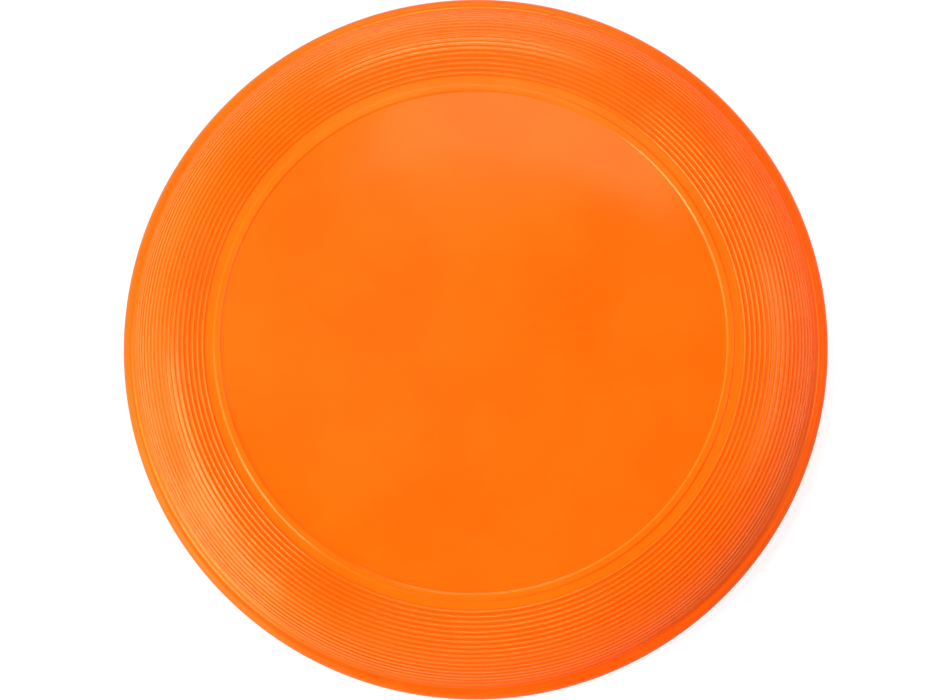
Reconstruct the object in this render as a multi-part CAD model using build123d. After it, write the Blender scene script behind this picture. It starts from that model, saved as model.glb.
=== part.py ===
from build123d import *
import os
from math import cos, hypot, sin

# Flying disc, a thin injection-moulded shell that is round about Z and open below. Millimetres.
# The origin is on the axis, on the plane that the rim stands on, and +Z is up through the top plate.
#
# The real disc is one moulding. It is written here as five regions that meet face to face at the
# moulding's own creases, from the middle outwards: flight_plate, plate_ring, ridged_shoulder,
# rim_wall and rim_bead. Every outline is a list of edges in (radius, height), turned once about Z.

# Overall size
OUTER_RADIUS = 105.0
TOP_Z = 19.5  # top of the plate's edge and of the land outside the ring
WALL = 1.7

# Plate: flat in the middle, with an edge that falls a little towards the ring
CROWN = 0.25
CROWN_FLAT_RADIUS = 56.0

# Raised ring round the plate
RING_INNER_FOOT = 74.4
RING_OUTER_FOOT = 77.1
RING_HEIGHT = 0.45
RING_SLOPE = 0.65  # width of each sloping flank

# Shoulder: flat land, then an arc that rolls over to the rim
ARC_START_RADIUS = 84.5
ARC_RADIUS = 18.05
ARC_CENTRE_Z = TOP_Z - ARC_RADIUS
INNER_ARC_RADIUS = ARC_RADIUS - WALL

# Flight ridges: concentric rounded beads that rise straight up from the land and the shoulder's
# arc, so that the mould can lift off them
RIDGE_COUNT = 17
FIRST_RIDGE_RADIUS = 80.0
RIDGE_HEIGHT = 0.42
RIDGE_HALF_WIDTH = 0.40
RIDGE_CROWDING = 0.42  # the most that a half width may be, as a share of the pitch seen from above
FIRST_PITCH = 1.50  # along the ridge crests
PITCH_STEP = 0.0107  # each pitch is this much shorter than the one before
SEAM_PAST_LAST_RIDGE = 1.5  # where the ridged shoulder ends and the rim wall begins

# Rim wall: a smooth rounded edge that drops to a groove above the bead
GROOVE_FILLET = 1.4

# Rim bead: the thick outer lip that the disc stands on
BEAD_ROUND = 2.4
WIDEST_Z = 5.05
BEAD_SIDE_ROUND = 9.0  # below the widest point
FOOT_OUTER_ROUND = 0.8
FOOT_INNER_RADIUS = 102.3  # inner edge of the narrow flat that the disc stands on

# Underside of the plate: the stub of the moulding gate, and the ejector pins' shallow dimples
GATE_RADIUS = 1.9
GATE_TIP_RADIUS = 1.1
GATE_LENGTH = 1.2
EJECTOR_COUNT = 6
EJECTOR_CIRCLE_RADIUS = 48.0
EJECTOR_RADIUS = 4.0
EJECTOR_DEPTH = 0.2

STANDING = (Align.CENTER, Align.CENTER, Align.MIN)
INNER_TOP_Z = TOP_Z - WALL
BEAD_TOP_Z = WIDEST_Z + BEAD_ROUND
BEAD_TOP_RADIUS = OUTER_RADIUS - BEAD_ROUND
INNER_WALL_RADIUS = ARC_START_RADIUS + INNER_ARC_RADIUS


def turned(edges):
    """The solid of a closed outline of edges, turned once about Z."""
    return revolve(Plane.XZ * make_face(edges), axis=Axis.Z)


def at_angle(radius, angle):
    """The point on a circle about the shoulder's centre, at an angle down from straight up."""
    return (ARC_START_RADIUS + radius * sin(angle), ARC_CENTRE_Z + radius * cos(angle))


def crest_distance(index):
    """How far a ridge is from the first one, along the ridge crests."""
    return index * FIRST_PITCH - PITCH_STEP * index * (index - 1) / 2


def crest_pitch(index):
    """How far a ridge is from the one before it, along the ridge crests."""
    return FIRST_PITCH - PITCH_STEP * (index - 1)


def crest_angle(distance):
    """The angle down the shoulder at a distance along the crests, or 0 on the flat land."""
    flat_run = ARC_START_RADIUS - FIRST_RIDGE_RADIUS
    return max(distance - flat_run, 0) / (ARC_RADIUS + RIDGE_HEIGHT)


def skin_point(radius):
    """The point of the bare skin, without ridges, at a radius."""
    run = max(radius - ARC_START_RADIUS, 0)
    return (radius, ARC_CENTRE_Z + (ARC_RADIUS**2 - run**2) ** 0.5)


def ridge(index):
    """A ridge's outline: a parabola that stands upright on the skin between the ridge's feet."""
    distance = crest_distance(index)
    angle = crest_angle(distance)
    radius = min(FIRST_RIDGE_RADIUS + distance, ARC_START_RADIUS)
    radius += (ARC_RADIUS + RIDGE_HEIGHT) * sin(angle)
    half_width = min(RIDGE_HALF_WIDTH, RIDGE_CROWDING * crest_pitch(index) * cos(angle))
    near_foot = skin_point(radius - half_width)
    far_foot = skin_point(radius + half_width)
    pull = (radius, (near_foot[1] + far_foot[1]) / 2 + 2 * RIDGE_HEIGHT)
    return Bezier(near_foot, pull, far_foot)


def inner_arc_point(z):
    """The point of the shoulder's inner arc at a height."""
    rise = z - ARC_CENTRE_Z
    return (ARC_START_RADIUS + (INNER_ARC_RADIUS**2 - rise**2) ** 0.5, z)


def inner_arc(start, end):
    """The stretch of the shoulder's inner arc between two of its points."""
    middle = ((start[0] + end[0]) / 2 - ARC_START_RADIUS, (start[1] + end[1]) / 2 - ARC_CENTRE_Z)
    grow = INNER_ARC_RADIUS / hypot(*middle)
    on_arc = (ARC_START_RADIUS + middle[0] * grow, ARC_CENTRE_Z + middle[1] * grow)
    return ThreePointArc(start, on_arc, end)


# The seam between the ridged shoulder and the rim wall lies along the shoulder arc's radius
SEAM_ANGLE = crest_angle(crest_distance(RIDGE_COUNT - 1) + SEAM_PAST_LAST_RIDGE)
SEAM_OUTER = at_angle(ARC_RADIUS, SEAM_ANGLE)
SEAM_INNER = at_angle(INNER_ARC_RADIUS, SEAM_ANGLE)

# The seam between the rim wall and the bead is level, at the bottom of the groove
BEAD_SEAM_OUTER = (BEAD_TOP_RADIUS, BEAD_TOP_Z)
BEAD_SEAM_INNER = inner_arc_point(BEAD_TOP_Z)


def flight_plate():
    """The round top of the disc inside the raised ring, crowned by the same arc above and below."""
    ceiling = INNER_TOP_Z + CROWN
    top_flat = (CROWN_FLAT_RADIUS, TOP_Z + CROWN)
    under_flat = (CROWN_FLAT_RADIUS, ceiling)
    plate = turned(
        [
            Line((0, TOP_Z + CROWN), top_flat),
            TangentArc(top_flat, (RING_INNER_FOOT, TOP_Z), tangent=(1, 0)),
            Line((RING_INNER_FOOT, TOP_Z), (RING_INNER_FOOT, INNER_TOP_Z)),
            TangentArc(under_flat, (RING_INNER_FOOT, INNER_TOP_Z), tangent=(1, 0)),
            Line(under_flat, (0, ceiling)),
            Line((0, ceiling), (0, TOP_Z + CROWN)),
        ]
    )
    dimple = Cylinder(EJECTOR_RADIUS, EJECTOR_DEPTH, align=STANDING)
    for place in PolarLocations(EJECTOR_CIRCLE_RADIUS, EJECTOR_COUNT):
        plate -= Pos(0, 0, ceiling) * place * dimple
    gate = Cone(GATE_TIP_RADIUS, GATE_RADIUS, GATE_LENGTH, align=STANDING)
    return plate + Pos(0, 0, ceiling - GATE_LENGTH) * gate


def plate_ring():
    """The raised ring round the plate, with the wall that it stands on."""
    ring_top = TOP_Z + RING_HEIGHT
    inner_top = RING_INNER_FOOT + RING_SLOPE
    outer_top = RING_OUTER_FOOT - RING_SLOPE
    return turned(
        [
            Line((RING_INNER_FOOT, INNER_TOP_Z), (RING_OUTER_FOOT, INNER_TOP_Z)),
            Line((RING_OUTER_FOOT, INNER_TOP_Z), (RING_OUTER_FOOT, TOP_Z)),
            Line((RING_OUTER_FOOT, TOP_Z), (outer_top, ring_top)),
            Line((outer_top, ring_top), (inner_top, ring_top)),
            Line((inner_top, ring_top), (RING_INNER_FOOT, TOP_Z)),
            Line((RING_INNER_FOOT, TOP_Z), (RING_INNER_FOOT, INNER_TOP_Z)),
        ]
    )


def ridged_shoulder():
    """The land and the rounded shoulder, with the flight ridges on their outside."""
    corner = (RING_OUTER_FOOT, TOP_Z)
    edges = []
    for index in range(RIDGE_COUNT):
        bead = ridge(index)
        edges += [Line(corner, bead @ 0), bead]
        corner = bead @ 1
    arc_start = (ARC_START_RADIUS, INNER_TOP_Z)
    edges += [
        Line(corner, SEAM_OUTER),
        Line(SEAM_OUTER, SEAM_INNER),
        inner_arc(SEAM_INNER, arc_start),
        Line(arc_start, (RING_OUTER_FOOT, INNER_TOP_Z)),
        Line((RING_OUTER_FOOT, INNER_TOP_Z), (RING_OUTER_FOOT, TOP_Z)),
    ]
    return turned(edges)


def rim_wall():
    """The smooth edge below the last ridge, and the wall that drops to the groove."""
    edge_low = (BEAD_TOP_RADIUS - GROOVE_FILLET, BEAD_TOP_Z + GROOVE_FILLET)
    return turned(
        [
            TangentArc(edge_low, SEAM_OUTER, tangent=(0, 1)),
            TangentArc(edge_low, BEAD_SEAM_OUTER, tangent=(0, -1)),
            Line(BEAD_SEAM_OUTER, BEAD_SEAM_INNER),
            inner_arc(BEAD_SEAM_INNER, SEAM_INNER),
            Line(SEAM_INNER, SEAM_OUTER),
        ]
    )


def rim_bead():
    """The thick rounded lip at the bottom of the rim, with the narrow flat that it stands on."""
    widest = (OUTER_RADIUS, WIDEST_Z)
    side_centre = (OUTER_RADIUS - BEAD_SIDE_ROUND, WIDEST_Z)
    centre_gap = BEAD_SIDE_ROUND - FOOT_OUTER_ROUND
    centre_drop = WIDEST_Z - FOOT_OUTER_ROUND
    centre_run = (centre_gap**2 - centre_drop**2) ** 0.5
    side_low = (
        side_centre[0] + BEAD_SIDE_ROUND * centre_run / centre_gap,
        side_centre[1] - BEAD_SIDE_ROUND * centre_drop / centre_gap,
    )
    foot_outer = (side_centre[0] + centre_run, 0)
    foot_inner = (FOOT_INNER_RADIUS, 0)
    inner_low = (INNER_WALL_RADIUS, ARC_CENTRE_Z)
    return turned(
        [
            TangentArc(BEAD_SEAM_OUTER, widest, tangent=(1, 0)),
            TangentArc(widest, side_low, tangent=(0, -1)),
            TangentArc(foot_outer, side_low, tangent=(1, 0)),
            Line(foot_outer, foot_inner),
            TangentArc(foot_inner, inner_low, tangent=(-1, 0)),
            inner_arc(inner_low, BEAD_SEAM_INNER),
            Line(BEAD_SEAM_INNER, BEAD_SEAM_OUTER),
        ]
    )


REGIONS = (flight_plate, plate_ring, ridged_shoulder, rim_wall, rim_bead)

os.makedirs("parts", exist_ok=True)
for region in REGIONS:
    export_step(region(), f"parts/{region.__name__}.step")
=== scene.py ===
from math import atan2, cos, hypot, pi, radians, sin, sqrt

import bmesh
import bpy
from mathutils import Matrix, Vector


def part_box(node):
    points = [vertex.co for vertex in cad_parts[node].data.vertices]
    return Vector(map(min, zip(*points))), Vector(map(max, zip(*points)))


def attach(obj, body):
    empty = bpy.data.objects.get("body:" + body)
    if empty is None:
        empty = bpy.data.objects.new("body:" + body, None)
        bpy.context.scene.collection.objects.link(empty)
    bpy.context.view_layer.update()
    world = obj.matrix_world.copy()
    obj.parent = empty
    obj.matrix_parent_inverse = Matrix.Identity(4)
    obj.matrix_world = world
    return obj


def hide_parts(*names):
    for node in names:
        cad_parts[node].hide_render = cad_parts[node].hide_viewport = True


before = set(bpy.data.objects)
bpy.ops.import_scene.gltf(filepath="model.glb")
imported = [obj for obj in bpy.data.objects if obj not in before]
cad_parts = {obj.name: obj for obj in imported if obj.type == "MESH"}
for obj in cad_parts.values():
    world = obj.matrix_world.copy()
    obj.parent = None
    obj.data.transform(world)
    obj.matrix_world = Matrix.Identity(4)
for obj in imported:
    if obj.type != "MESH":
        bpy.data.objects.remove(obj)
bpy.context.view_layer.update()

# A flying disc seen from almost straight above, on a plain pale floor. Lengths are in metres.
# The disc is round about Z. Each of the five CAD regions is replaced by a finer mesh of the same
# region, worked out from the boxes that the frame gives and the sizes named below.

MM = 0.001
SEGMENTS = 360


def outer_radius(node):
    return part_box(node)[1].x


def top_of(node):
    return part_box(node)[1].z


# Sizes read from the frame
PLATE_RADIUS = outer_radius("flight_plate")
RING_RADIUS = outer_radius("plate_ring")
RING_TOP = top_of("plate_ring")
RIDGE_TOP = top_of("ridged_shoulder")
BEAD_TOP_RADIUS = outer_radius("rim_wall")
BEAD_TOP = top_of("rim_bead")
DISC_RADIUS = outer_radius("rim_bead")
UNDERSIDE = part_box("plate_ring")[0].z
GATE_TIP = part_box("flight_plate")[0].z

# Shoulder
RIDGE_HEIGHT = 0.42 * MM
LAND_TOP = RIDGE_TOP - RIDGE_HEIGHT
WALL = LAND_TOP - UNDERSIDE
ARC_START = 84.5 * MM
ARC_RADIUS = 18.05 * MM
ARC_CENTRE_Z = LAND_TOP - ARC_RADIUS
INNER_ARC_RADIUS = ARC_RADIUS - WALL

# Flight ridges
RIDGE_COUNT = 17
FIRST_RIDGE = 80.0 * MM
RIDGE_HALF_WIDTH = 0.43 * MM
RIDGE_FOOT_BLEND = 0.03 * MM
FIRST_PITCH = 1.50 * MM  # along the ridge crests
PITCH_STEP = 0.0107 * MM  # each pitch is this much shorter than the one before
RIDGE_CROWDING = 0.42  # the most that a half width may be, as a share of the pitch seen from above
RIDGE_ROWS = (-1.15, -0.95, -0.75, -0.5, -0.25, 0.0, 0.25, 0.5, 0.75, 0.95, 1.15)

# Ring, rim and foot
RING_FLANK = 0.65 * MM
FLANK_ROWS = 8
LAND_ROW = 1.2 * MM  # a row of points this far out from the ring keeps the land's normals level
SEAM_PAST_LAST_RIDGE = 1.5 * MM
GROOVE_FILLET = 1.4 * MM
BEAD_ROUND = DISC_RADIUS - BEAD_TOP_RADIUS
WIDEST_Z = BEAD_TOP - BEAD_ROUND
BEAD_SIDE_ROUND = 9.0 * MM
FOOT_OUTER_ROUND = 0.8 * MM
FOOT_INNER_RADIUS = 102.3 * MM
FOOT_ROWS = 8
ARC_STEP = radians(9)

# Plate, which is flat in the middle and falls a little towards the ring
CROWN = 0.25 * MM
CROWN_FLAT = 56.0 * MM
PLATE_ROWS = 60
CROWN_ROWS = 12
WARP_HEIGHT = 0.02 * MM
# The top's unevenness: each wave's (rate along X, rate along Y, phase, share of the height)
WARP_WAVES = ((3.1, 1.2, 0.4, 1.0), (-1.9, 4.3, 1.1, 0.7), (6.1, -3.7, 2.3, 0.5))

# Marks of the moulding, on the underside
EJECTOR_COUNT = 6
EJECTOR_CIRCLE = 48.0 * MM
EJECTOR_RADIUS = 4.0 * MM
EJECTOR_DEPTH = 0.2 * MM
GATE_RADIUS = 1.9 * MM
GATE_TIP_RADIUS = 1.1 * MM
MARK_EDGE = 0.08 * MM
GATE_FILLET = 0.35 * MM
GATE_TIP_EDGE = 0.12 * MM
MARK_SEGMENTS = 48
SHARP_ANGLE = radians(35)

# Colours of the plastic, as the two ends of its clouds, a painted shade for between the ridges, and the
# tints of its gloss
PLATE_ORANGES = ((0.93, 0.097, 0.001, 1), (0.97, 0.111, 0.0022, 1))
RIDGE_ORANGES = ((0.96, 0.109, 0.001, 1), (0.98, 0.122, 0.002, 1))
BEAD_ORANGES = ((0.97, 0.085, 0.0008, 1), (0.98, 0.096, 0.0015, 1))
# Painted shade: a deeper orange that stands for the shade that falls down between the ridges
PAINTED_VALLEY_SHADE_ORANGE = (0.92, 0.076, 0.0006, 1)
SCUFF_ORANGE = (0.95, 0.22, 0.03, 1)
PLATE_GLOSS = (1.0, 0.95, 0.55, 1)
RIDGE_GLOSS = (1.0, 0.95, 0.38, 1)
RIM_GLOSS = (1.0, 0.95, 0.2, 1)
PLASTIC_IOR = 1.49
SCUFFED_SPECULAR = 0.3  # 0.5 is what the IOR gives

# The plastic's unevenness: clouds in its pigment and its gloss, and relief as (size, depth). A
# pair called NOISE is where, between 0 and 1, a noise starts to show and where it shows in full.
CLOUD_SIZE = 26 * MM
CLOUD_NOISE = (0.3, 0.7)
GLOSS_CLOUD_SIZE = 9 * MM
GLOSS_CLOUD_NOISE = (0.25, 0.75)
PLATE_RIPPLE = (5 * MM, 0.004 * MM)
PLATE_GRAIN = (0.7 * MM, 0.0006 * MM)
RIM_RIPPLE = (2.2 * MM, 0.002 * MM)
RIM_GRAIN = (0.35 * MM, 0.0008 * MM)
INSIDE_GRAIN = (0.25 * MM, 0.004 * MM)

# Marks in the finishes. A SHARE is how much of the second colour is mixed in.
BLUSH_RADII = (3 * MM, 20 * MM)
BLUSH_SHARE = 0.6
FLOW_TURN_SCALE = 5.0
FLOW_RADIUS_SCALE = 12.0
FLOW_SIZE = 0.3
FLOW_NOISE = (0.5, 0.7)
FLOW_RADII = (10 * MM, 60 * MM)
FLOW_SHARE = 0.5
# Painted shade between the ridges: how far above the bare skin it fades out, and how much of the deeper
# orange is mixed in at the skin
PAINTED_VALLEY_SHADE_DEPTH = 0.2 * MM
PAINTED_VALLEY_SHADE_SHARE = 0.6
SCUFF_HEIGHTS = (0.2 * MM, 1.4 * MM)
SCUFF_SIZE = 1.1 * MM
SCUFF_NOISE = (0.52, 0.66)
SCUFF_SHARE = 0.35
SCUFF_DULLNESS = 0.3
SCUFF_DEPTH = 0.01 * MM
TOOL_PITCH = 0.3 * MM
TOOL_DEPTH = 0.003 * MM
TOOL_WOBBLE = 1.5
TOOL_WOBBLE_SIZE = 4 * MM

# Camera: almost straight above, leaning a little towards the near side
CAMERA_DISTANCE = 1.3
CAMERA_LEAN = radians(6.8)
CAMERA_TURN = radians(13.0)
LENS_MM = 165.25
SENSOR_MM = 36
AIM_OFFSET = (0.0, -1.05 * MM)

# Studio: softboxes as (name, azimuth and elevation in degrees, width, height, watts), and cards
# that face straight down as (name, low corner, high corner, radiance)
SOFTBOX_DISTANCE = 1.0
SOFTBOXES = (
    ("key_low", 213, 22, 0.45, 0.45, 7.8),
    ("key_high", 190, 48, 0.4, 0.4, 6.8),
    ("back", 94, 41, 0.55, 0.45, 7.2),
    ("right", 4, 48, 0.5, 0.5, 4.2),
)
CARDS = (
    ("back_card", (-0.105, 0.237), (0.13, 0.42), 1.6),
    ("ceiling_card", (-0.85, 0.07), (-0.03, 0.50), 0.18),
)
CARD_HEIGHT = 1.19

# The room's walls, brightest towards KEY_TURN, give way to its ceiling between two elevations
WALLS_TO, CEILING_FROM = radians(16), radians(32)
KEY_TURN = radians(180)
KEY_WALL_GLOW = 1.4
SHADE_WALL_GLOW = 0.28
CEILING_GLOW = 0.07
FLOOR_SIZE = 6.0
FLOOR_GREY = (0.2, 0.2, 0.2, 1)
FLOOR_GLOW = 0.82
FLOOR_ROUGHNESS = 0.9
WHITE = (1, 1, 1, 1)


# ---------------------------------------------------------------- outline of the disc

def arc(centre, radius, start, end):
    """Points on an arc from one angle to another, both measured clockwise from straight up."""
    count = max(3, round(abs(end - start) / ARC_STEP))
    angles = [start + (end - start) * i / count for i in range(count + 1)]
    return [(centre[0] + radius * sin(a), centre[1] + radius * cos(a)) for a in angles]


def crest_distance(index):
    """How far a ridge is from the first one, along the ridge crests."""
    return index * FIRST_PITCH - PITCH_STEP * index * (index - 1) / 2


def crest_pitch(index):
    """How far a ridge is from the one before it, along the ridge crests."""
    return FIRST_PITCH - PITCH_STEP * (index - 1)


def crest_angle(distance):
    """The angle down the shoulder at a distance along the crests, or 0 on the flat land."""
    flat_run = ARC_START - FIRST_RIDGE
    return max(distance - flat_run, 0) / (ARC_RADIUS + RIDGE_HEIGHT)


def skin_height(radius):
    """The height of the bare skin, without ridges, at a radius."""
    run = max(radius - ARC_START, 0)
    return ARC_CENTRE_Z + sqrt(ARC_RADIUS**2 - run**2)


def ridge(index):
    """A ridge's outline: an upright rounded bead that eases into the skin at both feet."""
    distance = crest_distance(index)
    angle = crest_angle(distance)
    middle = min(FIRST_RIDGE + distance, ARC_START) + (ARC_RADIUS + RIDGE_HEIGHT) * sin(angle)
    half_width = min(RIDGE_HALF_WIDTH, RIDGE_CROWDING * crest_pitch(index) * cos(angle))
    points = []
    for row in RIDGE_ROWS:
        radius = middle + row * half_width
        bead = RIDGE_HEIGHT * (1 - row**2)
        rise = (bead + sqrt(bead**2 + 4 * RIDGE_FOOT_BLEND**2)) / 2
        points.append((radius, skin_height(radius) + rise))
    return points


def shoulder_arc(reach, angle):
    """The point at a distance from the shoulder's centre, at an angle down from straight up."""
    return (ARC_START + reach * sin(angle), ARC_CENTRE_Z + reach * cos(angle))


def ring_outline():
    """The raised ring's two eased flanks and the flat between them."""
    rise = RING_TOP - LAND_TOP
    shares = [i / FLANK_ROWS for i in range(FLANK_ROWS + 1)]
    flank = [(share * RING_FLANK, rise * (1 - cos(pi * share)) / 2) for share in shares]
    up = [(PLATE_RADIUS + run, LAND_TOP + lift) for run, lift in flank]
    down = [(RING_RADIUS - run, LAND_TOP + lift) for run, lift in reversed(flank)]
    middle = ((up[-1][0] + down[0][0]) / 2, RING_TOP)
    return up + [middle] + down


def shoulder_outline():
    """The land, the shoulder and its ridges, as far as the seam with the rim wall."""
    points = [(RING_RADIUS, LAND_TOP), (RING_RADIUS + LAND_ROW, LAND_TOP)]
    for index in range(RIDGE_COUNT):
        points += ridge(index)
    return points + [wall_seam()[0]]


def wall_seam():
    """The outer and inner ends of the seam between the ridged shoulder and the rim wall."""
    angle = crest_angle(crest_distance(RIDGE_COUNT - 1) + SEAM_PAST_LAST_RIDGE)
    return shoulder_arc(ARC_RADIUS, angle), shoulder_arc(INNER_ARC_RADIUS, angle)


def wall_outline():
    """The smooth edge below the last ridge and the wall down to the groove's bottom."""
    start = wall_seam()[0]
    low = (BEAD_TOP_RADIUS - GROOVE_FILLET, BEAD_TOP + GROOVE_FILLET)
    run, rise = low[0] - start[0], start[1] - low[1]
    radius = (run**2 + rise**2) / (2 * run)
    edge = arc((low[0] - radius, low[1]), radius, pi / 2 - 2 * atan2(run, rise), pi / 2)
    centre = (BEAD_TOP_RADIUS, BEAD_TOP + GROOVE_FILLET)
    groove = arc(centre, GROOVE_FILLET, 3 * pi / 2, pi)
    return edge + groove[1:]


def bead_outline():
    """The bead's outside, from the groove over the widest place to the flat it stands on."""
    upper = arc((BEAD_TOP_RADIUS, WIDEST_Z), BEAD_ROUND, 0, pi / 2)
    side_centre = (DISC_RADIUS - BEAD_SIDE_ROUND, WIDEST_Z)
    gap = BEAD_SIDE_ROUND - FOOT_OUTER_ROUND
    drop = WIDEST_Z - FOOT_OUTER_ROUND
    foot_run = sqrt(gap**2 - drop**2)
    turn = pi / 2 + atan2(drop, foot_run)
    side = arc(side_centre, BEAD_SIDE_ROUND, pi / 2, turn)
    foot = arc((side_centre[0] + foot_run, FOOT_OUTER_ROUND), FOOT_OUTER_ROUND, turn, pi)
    return upper + side[1:] + foot[1:] + inner_foot()


def inner_foot():
    """The rounded inner edge of the foot, from the flat up to the disc's inside."""
    inner_radius = ARC_START + INNER_ARC_RADIUS
    height = ARC_CENTRE_Z
    run = FOOT_INNER_RADIUS - inner_radius
    steps = [pi / 2 * i / FOOT_ROWS for i in range(FOOT_ROWS + 1)]
    return [(FOOT_INNER_RADIUS - run * sin(a), height * (1 - cos(a))) for a in steps]


def inner_arc(start_z, end_z):
    """The shoulder's inside between two heights."""
    def angle(z):
        return atan2(sqrt(max(INNER_ARC_RADIUS**2 - (z - ARC_CENTRE_Z) ** 2, 0)), z - ARC_CENTRE_Z)
    return arc((ARC_START, ARC_CENTRE_Z), INNER_ARC_RADIUS, angle(start_z), angle(end_z))


def with_normals(points):
    """Each point of an outline with its outward normal, from the points on either side of it."""
    result = []
    for i, point in enumerate(points):
        before = points[max(i - 1, 0)]
        after = points[min(i + 1, len(points) - 1)]
        run, rise = after[0] - before[0], after[1] - before[1]
        length = hypot(run, rise)
        result.append((point, (-rise / length, run / length)))
    return result


def chained(stretches):
    """Stretches joined end to end, given normals together, and cut apart again."""
    joined = list(stretches[0])
    cuts = [0]
    for stretch in stretches[1:]:
        cuts.append(len(joined) - 1)
        joined += stretch[1:]
    cuts.append(len(joined) - 1)
    rows = with_normals(joined)
    return [rows[a : b + 1] for a, b in zip(cuts, cuts[1:])]


def region_outlines():
    """The outside and the inside of every ring region, from plate_ring outwards.

    The whole section is chained into one line, so that the normals run smoothly over the seams.
    An outside runs away from the plate, and an inside runs back towards it.
    """
    seam_z = wall_seam()[1][1]
    plate_edge = [(PLATE_RADIUS - MM, LAND_TOP), (PLATE_RADIUS, LAND_TOP)]
    outside = [ring_outline(), shoulder_outline(), wall_outline(), bead_outline()]
    inside = [
        inner_arc(ARC_CENTRE_Z, BEAD_TOP),
        inner_arc(BEAD_TOP, seam_z),
        inner_arc(seam_z, UNDERSIDE) + [(RING_RADIUS, UNDERSIDE)],
        [(RING_RADIUS, UNDERSIDE), (PLATE_RADIUS, UNDERSIDE)],
    ]
    underside_edge = [(PLATE_RADIUS, UNDERSIDE), (PLATE_RADIUS - MM, UNDERSIDE)]
    rows = chained([plate_edge, *outside, *inside, underside_edge])[1:-1]
    count = len(outside)
    return rows[:count], list(reversed(rows[count:]))


# ---------------------------------------------------------------- meshes

OUTSIDE, INSIDE = 0, 1


def turned(radius, z, turn):
    return Vector((radius * cos(turn), radius * sin(turn), z))


class Turning:
    """A mesh made by turning outlines about Z, with the normal of every face corner kept."""

    def __init__(self):
        self.vertices = []
        self.faces = []
        self.normals = []
        self.sides = []

    def row(self, point):
        """A full circle of vertices at an outline's point; returns the index of its first one."""
        first = len(self.vertices)
        for i in range(SEGMENTS):
            self.vertices.append(turned(*point, 2 * pi * i / SEGMENTS))
        return first

    def band(self, low, high, low_normal, high_normal, side):
        """The faces between two rows, with the outline's normals at each of them."""
        for i in range(SEGMENTS):
            j = (i + 1) % SEGMENTS
            here, there = 2 * pi * i / SEGMENTS, 2 * pi * (i + 1) / SEGMENTS
            self.faces.append((low + i, high + i, high + j, low + j))
            self.normals += [
                turned(*low_normal, here),
                turned(*high_normal, here),
                turned(*high_normal, there),
                turned(*low_normal, there),
            ]
            self.sides.append(side)

    def loop(self, stretches):
        """A closed ring: the stretches follow one another round the section, each (rows, side)."""
        first = previous = self.row(stretches[0][0][0][0])
        for number, (rows, side) in enumerate(stretches):
            for step in range(1, len(rows)):
                closing = number == len(stretches) - 1 and step == len(rows) - 1
                current = first if closing else self.row(rows[step][0])
                self.band(previous, current, rows[step - 1][1], rows[step][1], side)
                previous = current

    def mesh(self, name):
        made = bpy.data.meshes.new(name)
        made.from_pydata(self.vertices, [], self.faces)
        made.polygons.foreach_set("use_smooth", [True] * len(self.faces))
        made.polygons.foreach_set("material_index", self.sides)
        made.normals_split_custom_set(self.normals)
        return made


def seam(start, end):
    """The hidden face where two regions meet, between two points of the outline."""
    return with_normals([start, end])


def ring_region(name, outer, inner):
    """One ring-shaped region: its outside, its inside and the seams that close it."""
    stretches = [(outer, OUTSIDE)]
    if outer[-1][0] != inner[0][0]:  # the bead's outside runs on into its inside without a seam
        stretches.append((seam(outer[-1][0], inner[0][0]), INSIDE))
    stretches.append((inner, INSIDE))
    stretches.append((seam(inner[-1][0], outer[0][0]), INSIDE))
    turning = Turning()
    turning.loop(stretches)
    return add_piece(name, turning.mesh(name))


def add_piece(name, mesh):
    piece = bpy.data.objects.new(name, mesh)
    bpy.context.scene.collection.objects.link(piece)
    return piece


# ---------------------------------------------------------------- the flat plate

def crown(radius):
    """The plate's rise above its edge: an arc up from the ring to the flat middle."""
    fall = (PLATE_RADIUS - CROWN_FLAT) ** 2 / (2 * CROWN) + CROWN / 2
    run = max(radius - CROWN_FLAT, 0)
    return CROWN - fall + sqrt(fall**2 - run**2)


def warp(x, y):
    """How far the moulded top lies off true: a few long shallow waves that die at its edge."""
    across, along = x / PLATE_RADIUS, y / PLATE_RADIUS
    waves = sum(share * sin(a * across + b * along + phase) for a, b, phase, share in WARP_WAVES)
    inside = max(0.0, 1 - hypot(across, along) ** 4)
    return WARP_HEIGHT * waves * inside


def circle(bm, centre, radius, z, segments):
    """A circle of vertices."""
    turns = [2 * pi * i / segments for i in range(segments)]
    return [bm.verts.new((centre[0] + radius * cos(a), centre[1] + radius * sin(a), z)) for a in turns]


def bridge(bm, first, second, side):
    """The band of faces between two circles of the same number of vertices."""
    count = len(first)
    for i in range(count):
        j = (i + 1) % count
        bm.faces.new((first[i], second[i], second[j], first[j])).material_index = side


def fan(bm, ring, centre, side):
    """The faces that close a circle at a vertex in its middle."""
    count = len(ring)
    for i in range(count):
        bm.faces.new((ring[i], centre, ring[(i + 1) % count])).material_index = side


def rim_edges(bm, ring):
    return [bm.edges.get((ring[i], ring[(i + 1) % len(ring)])) for i in range(len(ring))]


def mark(bm, centre, outline):
    """A small turned shape on the underside; returns the edges of its outermost circle."""
    rings = [circle(bm, centre, radius, z, MARK_SEGMENTS) for radius, z in outline[:-1]]
    for outer, inner in zip(rings, rings[1:]):
        bridge(bm, outer, inner, INSIDE)
    fan(bm, rings[-1], bm.verts.new((*centre, outline[-1][1])), INSIDE)
    return rim_edges(bm, rings[0])


def ejector_outline():
    """A pin's shallow dimple: a softened edge, an upright wall and a flat floor."""
    ceiling = UNDERSIDE + CROWN
    floor = ceiling + EJECTOR_DEPTH
    return [
        (EJECTOR_RADIUS + MARK_EDGE, ceiling),
        (EJECTOR_RADIUS + MARK_EDGE / 4, ceiling + MARK_EDGE / 4),
        (EJECTOR_RADIUS, ceiling + MARK_EDGE),
        (EJECTOR_RADIUS, floor),
        (0, floor),
    ]


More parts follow.
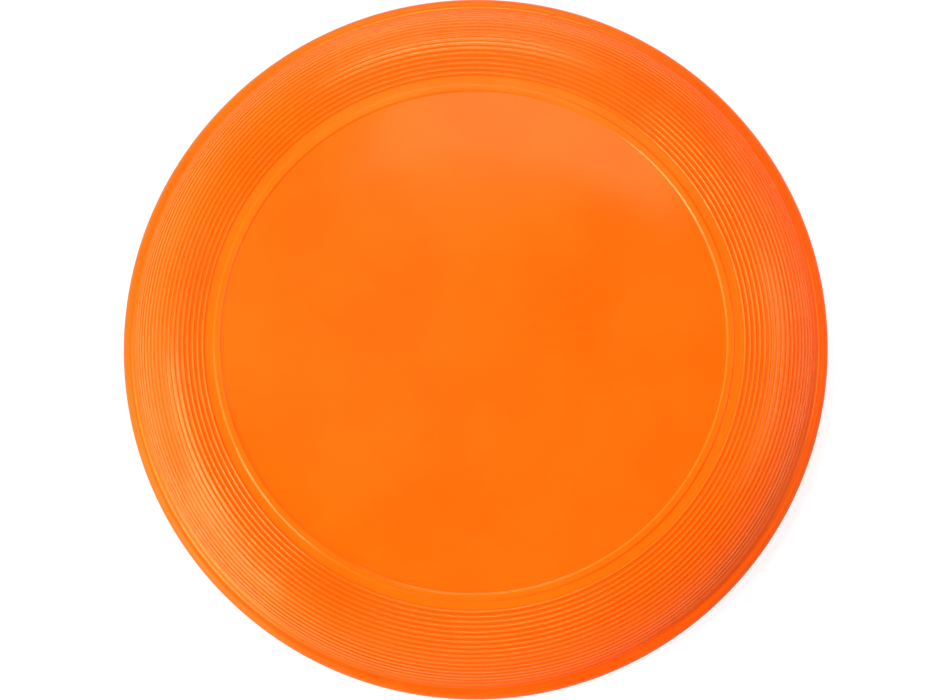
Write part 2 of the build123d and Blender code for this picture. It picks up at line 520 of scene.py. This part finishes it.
def gate_outline():
    """The gate's cut-off stub: a small fillet, a tapering side and a hollowed, snapped-off tip."""
    ceiling = UNDERSIDE + CROWN
    return [
        (GATE_RADIUS + GATE_FILLET, ceiling),
        (GATE_RADIUS + GATE_FILLET * 0.3, ceiling - GATE_FILLET * 0.3),
        (GATE_RADIUS, ceiling - GATE_FILLET),
        (GATE_TIP_RADIUS + GATE_TIP_EDGE, GATE_TIP + GATE_TIP_EDGE),
        (GATE_TIP_RADIUS, GATE_TIP),
        (GATE_TIP_RADIUS * 0.6, GATE_TIP + GATE_TIP_EDGE),
        (0, GATE_TIP + 2 * GATE_TIP_EDGE),
    ]


def plate_top(bm):
    """The top's circles, closed in the middle; returns the outermost one."""
    middle = bm.verts.new((0, 0, LAND_TOP + crown(0)))
    rows = []
    for k in range(1, PLATE_ROWS + 1):
        radius = PLATE_RADIUS * k / PLATE_ROWS
        rows.append(circle(bm, (0, 0), radius, LAND_TOP + crown(radius), SEGMENTS))
    for inner, outer in zip(rows, rows[1:]):
        bridge(bm, inner, outer, OUTSIDE)
    fan(bm, rows[0], middle, OUTSIDE)
    for vertex in bm.verts:
        vertex.co.z += warp(vertex.co.x, vertex.co.y)
    return rows[-1]


def plate_underside(bm, edge):
    """The seam wall down from the top's edge, and the underside as far as its flat middle."""
    rows = [edge]
    for k in range(CROWN_ROWS + 1):
        radius = PLATE_RADIUS + (CROWN_FLAT - PLATE_RADIUS) * k / CROWN_ROWS
        rows.append(circle(bm, (0, 0), radius, UNDERSIDE + crown(radius), SEGMENTS))
    for outer, inner in zip(rows, rows[1:]):
        bridge(bm, outer, inner, INSIDE)
    return rim_edges(bm, rows[-1])


def plate_mesh():
    """The plate: a slightly uneven polished top, and an underside with the mould's marks."""
    bm = bmesh.new()
    edges = plate_underside(bm, plate_top(bm))
    for i in range(EJECTOR_COUNT):
        turn = 2 * pi * i / EJECTOR_COUNT
        edges += mark(bm, (EJECTOR_CIRCLE * cos(turn), EJECTOR_CIRCLE * sin(turn)), ejector_outline())
    edges += mark(bm, (0, 0), gate_outline())
    filled = bmesh.ops.triangle_fill(bm, edges=edges, use_beauty=True, normal=(0, 0, -1))
    for face in filled["geom"]:
        if isinstance(face, bmesh.types.BMFace):
            face.material_index = INSIDE
    bmesh.ops.recalc_face_normals(bm, faces=bm.faces)
    made = bpy.data.meshes.new("flight_plate")
    bm.to_mesh(made)
    bm.free()
    made.polygons.foreach_set("use_smooth", [True] * len(made.polygons))
    made.set_sharp_from_angle(angle=SHARP_ANGLE)
    return made


# ---------------------------------------------------------------- materials

class Finish:
    """A material under construction: its shader, and short ways to add nodes that feed it."""

    def __init__(self, name):
        self.material = bpy.data.materials.new(name)
        self.material.use_nodes = True
        self.tree = self.material.node_tree
        self.shader = self.tree.nodes["Principled BSDF"]
        self.place = self.node("ShaderNodeTexCoord").outputs["Object"]

    def node(self, kind, **settings):
        made = self.tree.nodes.new(kind)
        for key, value in settings.items():
            setattr(made, key, value)
        return made

    def feed(self, socket, value):
        """Link an output to a socket, or set the socket to a plain value."""
        if isinstance(value, bpy.types.NodeSocket):
            self.tree.links.new(value, socket)
        else:
            socket.default_value = value

    def calc(self, kind, first, second=0.0):
        made = self.node("ShaderNodeMath", operation=kind)
        self.feed(made.inputs[0], first)
        self.feed(made.inputs[1], second)
        return made.outputs["Value"]

    def spread(self, value, low, high, to_low, to_high):
        """A value mapped from one range to another, with a soft start and end."""
        made = self.node("ShaderNodeMapRange", interpolation_type="SMOOTHSTEP")
        for name, number in zip(("Value", "From Min", "From Max", "To Min", "To Max"),
                                (value, low, high, to_low, to_high)):
            self.feed(made.inputs[name], number)
        return made.outputs["Result"]

    def noise(self, size, detail=2.0, place=None):
        """Smooth noise from 0 to 1 whose blotches are about the given size across."""
        made = self.node("ShaderNodeTexNoise")
        self.feed(made.inputs["Vector"], place or self.place)
        self.feed(made.inputs["Scale"], 1 / size)
        self.feed(made.inputs["Detail"], detail)
        return made.outputs["Fac"]

    def mix(self, share, first, second):
        made = self.node("ShaderNodeMix", data_type="RGBA")
        self.feed(made.inputs["Factor"], share)
        self.feed(made.inputs["A"], first)
        self.feed(made.inputs["B"], second)
        return made.outputs["Result"]

    def bump(self, height, distance, below=None):
        """Relief of a height map from 0 to 1, at its real depth, on top of an earlier bump."""
        made = self.node("ShaderNodeBump")
        made.inputs["Distance"].default_value = distance
        self.feed(made.inputs["Height"], height)
        if below:
            self.feed(made.inputs["Normal"], below)
        return made.outputs["Normal"]

    def grain(self, relief, below=None, detail=2.0):
        """Relief of smooth noise, given as its size and its depth."""
        size, depth = relief
        return self.bump(self.noise(size, detail), depth, below)

    def axes(self):
        """The three coordinates in the disc's frame; the third is the height."""
        parts = self.node("ShaderNodeSeparateXYZ")
        self.feed(parts.inputs["Vector"], self.place)
        return parts.outputs

    def radius(self):
        """The distance from the disc's axis."""
        x, y, _ = self.axes()
        squares = self.calc("ADD", self.calc("MULTIPLY", x, x), self.calc("MULTIPLY", y, y))
        return self.calc("SQRT", squares)

    def turn(self):
        """The turn about the disc's axis."""
        x, y, _ = self.axes()
        return self.calc("ARCTAN2", y, x)

    def height(self):
        """The height above the floor."""
        return self.axes()[2]


def orange(name, roughness, colours=BEAD_ORANGES, gloss=RIM_GLOSS):
    """The disc's plastic, a solid orange with barely visible clouds in its pigment and gloss."""
    finish = Finish(name)
    clouds = finish.spread(finish.noise(CLOUD_SIZE, 3), *CLOUD_NOISE, 0, 1)
    gloss_clouds = finish.noise(GLOSS_CLOUD_SIZE, 4)
    finish.colour = finish.mix(clouds, *colours)
    dullest, glossiest = roughness * 1.1, roughness * 0.9
    finish.dullness = finish.spread(gloss_clouds, *GLOSS_CLOUD_NOISE, glossiest, dullest)
    finish.shader.inputs["IOR"].default_value = PLASTIC_IOR
    finish.shader.inputs["Specular Tint"].default_value = gloss
    return finish


def finished(finish, normal):
    """Joins what a finish has gathered to its shader."""
    finish.feed(finish.shader.inputs["Base Color"], finish.colour)
    finish.feed(finish.shader.inputs["Roughness"], finish.dullness)
    finish.feed(finish.shader.inputs["Normal"], normal)
    return finish.material


def polished_orange():
    """The plate's top: near mirror gloss, a paler blush over the gate, and faint flow lines."""
    finish = orange("polished_orange", roughness=0.1, colours=PLATE_ORANGES, gloss=PLATE_GLOSS)
    radius, turn = finish.radius(), finish.turn()
    blush = finish.spread(radius, *BLUSH_RADII, BLUSH_SHARE, 0)
    finish.colour = finish.mix(blush, finish.colour, PLATE_ORANGES[1])
    polar = finish.node("ShaderNodeCombineXYZ")
    finish.feed(polar.inputs["X"], finish.calc("MULTIPLY", finish.calc("SINE", turn), FLOW_TURN_SCALE))
    finish.feed(polar.inputs["Y"], finish.calc("MULTIPLY", finish.calc("COSINE", turn), FLOW_TURN_SCALE))
    finish.feed(polar.inputs["Z"], finish.calc("MULTIPLY", radius, FLOW_RADIUS_SCALE))
    flow = finish.noise(FLOW_SIZE, 3, polar.outputs["Vector"])
    fade = finish.spread(radius, *FLOW_RADII, FLOW_SHARE, 0)
    streaks = finish.calc("MULTIPLY", finish.spread(flow, *FLOW_NOISE, 0, 1), fade)
    finish.colour = finish.mix(streaks, finish.colour, PLATE_ORANGES[1])
    return finished(finish, finish.grain(PLATE_GRAIN, finish.grain(PLATE_RIPPLE, detail=1)))


def ridged_orange():
    """The ring and the ridges: polished, with painted shade, a deeper orange, down between the ridges.
    """
    finish = orange("ridged_orange", roughness=0.18, colours=RIDGE_ORANGES, gloss=RIDGE_GLOSS)
    radius = finish.radius()
    run = finish.calc("MAXIMUM", finish.calc("SUBTRACT", radius, ARC_START), 0.0)
    rise = finish.calc("SUBTRACT", finish.height(), ARC_CENTRE_Z)
    reach = finish.calc("ADD", finish.calc("MULTIPLY", run, run), finish.calc("MULTIPLY", rise, rise))
    above_skin = finish.calc("SUBTRACT", finish.calc("SQRT", reach), ARC_RADIUS)
    ridged = finish.spread(radius, FIRST_RIDGE - MM, FIRST_RIDGE - 0.5 * MM, 0, 1)
    # Painted shade: the deeper orange is mixed in close to the bare skin, down between the ridges
    painted_valley_shade = finish.spread(above_skin, 0, PAINTED_VALLEY_SHADE_DEPTH, PAINTED_VALLEY_SHADE_SHARE, 0)
    finish.colour = finish.mix(finish.calc("MULTIPLY", painted_valley_shade, ridged), finish.colour, PAINTED_VALLEY_SHADE_ORANGE)
    return finished(finish, finish.grain(RIM_GRAIN, finish.grain(RIM_RIPPLE)))


def matt_orange():
    """The rim wall: smooth, but less polished than the ridges."""
    finish = orange("matt_orange", roughness=0.32)
    return finished(finish, finish.grain(RIM_GRAIN, finish.grain(RIM_RIPPLE)))


def scuffed_orange():
    """The bead, which takes the knocks: dull, with small scuffs along the foot."""
    finish = orange("scuffed_orange", roughness=0.45)
    finish.shader.inputs["Specular IOR Level"].default_value = SCUFFED_SPECULAR
    low = finish.spread(finish.height(), *SCUFF_HEIGHTS, 1, 0)
    spots = finish.spread(finish.noise(SCUFF_SIZE, 5), *SCUFF_NOISE, 0, 1)
    scuffs = finish.calc("MULTIPLY", spots, low)
    finish.colour = finish.mix(finish.calc("MULTIPLY", scuffs, SCUFF_SHARE), finish.colour, SCUFF_ORANGE)
    dulled = finish.calc("MULTIPLY", scuffs, SCUFF_DULLNESS)
    finish.dullness = finish.calc("ADD", finish.dullness, dulled)
    return finished(finish, finish.bump(scuffs, SCUFF_DEPTH, finish.grain(RIM_RIPPLE)))


def satin_orange():
    """The inside and the underside: satin, with the fine circles that turning left in the mould."""
    finish = orange("satin_orange", roughness=0.38)
    across = finish.calc("ADD", finish.radius(), finish.height())
    wobble = finish.calc("MULTIPLY", finish.noise(TOOL_WOBBLE_SIZE), TOOL_WOBBLE)
    phase = finish.calc("ADD", finish.calc("MULTIPLY", across, 2 * pi / TOOL_PITCH), wobble)
    marks = finish.bump(finish.spread(finish.calc("SINE", phase), -1, 1, 0, 1), TOOL_DEPTH)
    return finished(finish, finish.grain(INSIDE_GRAIN, marks))


def make_disc():
    """The five regions, each riding on the disc's one body in place of its CAD node."""
    polished, ridged, satin = polished_orange(), ridged_orange(), satin_orange()
    outside, inside = region_outlines()
    pieces = [("flight_plate", add_piece("disc_flight_plate", plate_mesh()), polished)]
    rings = (
        ("plate_ring", ridged),
        ("ridged_shoulder", ridged),
        ("rim_wall", matt_orange()),
        ("rim_bead", scuffed_orange()),
    )
    for (node, finish), outer, inner in zip(rings, outside, inside):
        pieces.append((node, ring_region("disc_" + node, outer, inner), finish))
    for node, piece, finish in pieces:
        piece.data.materials.append(finish)
        piece.data.materials.append(satin)
        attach(piece, "root")
        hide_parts(node)


# ---------------------------------------------------------------- stage

def make_floor():
    """A plain pale floor that glows almost to white, so that it takes hardly any shadow."""
    bpy.ops.mesh.primitive_plane_add(size=FLOOR_SIZE)
    floor = bpy.context.object
    floor.name = "floor"
    material = bpy.data.materials.new("pale_floor")
    material.use_nodes = True
    shader = material.node_tree.nodes["Principled BSDF"]
    shader.inputs["Base Color"].default_value = FLOOR_GREY
    shader.inputs["Emission Color"].default_value = WHITE
    shader.inputs["Emission Strength"].default_value = FLOOR_GLOW
    shader.inputs["Roughness"].default_value = FLOOR_ROUGHNESS
    floor.data.materials.append(material)


def make_camera():
    """The camera, with the floor's +Y straight up in its picture."""
    lean = Vector(
        (
            sin(CAMERA_LEAN) * sin(CAMERA_TURN),
            -sin(CAMERA_LEAN) * cos(CAMERA_TURN),
            cos(CAMERA_LEAN),
        )
    )
    place = Vector((0, 0, WIDEST_Z)) + lean * CAMERA_DISTANCE
    back = (place - Vector((*AIM_OFFSET, WIDEST_Z))).normalized()
    right = Vector((0, 1, 0)).cross(back).normalized()
    camera = bpy.data.objects.new("camera", bpy.data.cameras.new("camera"))
    camera.data.lens = LENS_MM
    camera.data.sensor_width = SENSOR_MM
    camera.location = place
    camera.rotation_euler = Matrix((right, back.cross(right), back)).transposed().to_euler()
    bpy.context.scene.collection.objects.link(camera)
    bpy.context.scene.camera = camera


def make_world():
    """A plain studio: walls that are brighter on the key side, round a dim ceiling."""
    world = bpy.data.worlds.new("studio")
    world.use_nodes = True
    tree = world.node_tree
    place = tree.nodes.new("ShaderNodeTexCoord").outputs["Generated"]

    def along(way, low, high, to_low, to_high):
        """A value that goes from one to another with the view's share along a direction."""
        share = tree.nodes.new("ShaderNodeVectorMath")
        share.operation = "DOT_PRODUCT"
        share.inputs[1].default_value = way
        tree.links.new(place, share.inputs[0])
        fade = tree.nodes.new("ShaderNodeMapRange")
        fade.interpolation_type = "SMOOTHSTEP"
        tree.links.new(share.outputs["Value"], fade.inputs["Value"])
        fade.inputs["From Min"].default_value = low
        fade.inputs["From Max"].default_value = high
        fade.inputs["To Min"].default_value = to_low
        fade.inputs["To Max"].default_value = to_high
        return fade

    key_way = (cos(KEY_TURN), sin(KEY_TURN), 0)
    walls = along(key_way, -1, 1, SHADE_WALL_GLOW, KEY_WALL_GLOW)
    glow = along((0, 0, 1), sin(WALLS_TO), sin(CEILING_FROM), 1, CEILING_GLOW)
    tree.links.new(walls.outputs["Result"], glow.inputs["To Min"])
    background = tree.nodes["Background"]
    background.inputs["Color"].default_value = WHITE
    tree.links.new(glow.outputs["Result"], background.inputs["Strength"])
    bpy.context.scene.world = world
    bpy.context.scene.view_settings.view_transform = "Standard"


def area_light(name, place, width, height, watts):
    """A rectangular light that faces straight down until it is turned."""
    light = bpy.data.lights.new(name, "AREA")
    light.shape = "RECTANGLE"
    light.size = width
    light.size_y = height
    light.energy = watts
    lamp = bpy.data.objects.new(name, light)
    lamp.location = place
    lamp.visible_camera = False
    bpy.context.scene.collection.objects.link(lamp)
    return lamp


def make_lights():
    """Softboxes round the disc, and the cards above it that its plate mirrors."""
    middle = Vector((0, 0, LAND_TOP))
    for name, azimuth, elevation, width, height, watts in SOFTBOXES:
        turn, rise = radians(azimuth), radians(elevation)
        way = Vector((cos(rise) * cos(turn), cos(rise) * sin(turn), sin(rise)))
        lamp = area_light(name, middle + way * SOFTBOX_DISTANCE, width, height, watts)
        lamp.rotation_euler = way.to_track_quat("Z", "Y").to_euler()
    for name, low, high, radiance in CARDS:
        width, depth = high[0] - low[0], high[1] - low[1]
        centre = ((low[0] + high[0]) / 2, (low[1] + high[1]) / 2, CARD_HEIGHT)
        area_light(name, centre, width, depth, radiance * pi * width * depth)


make_disc()
make_floor()
make_camera()
make_world()
make_lights()
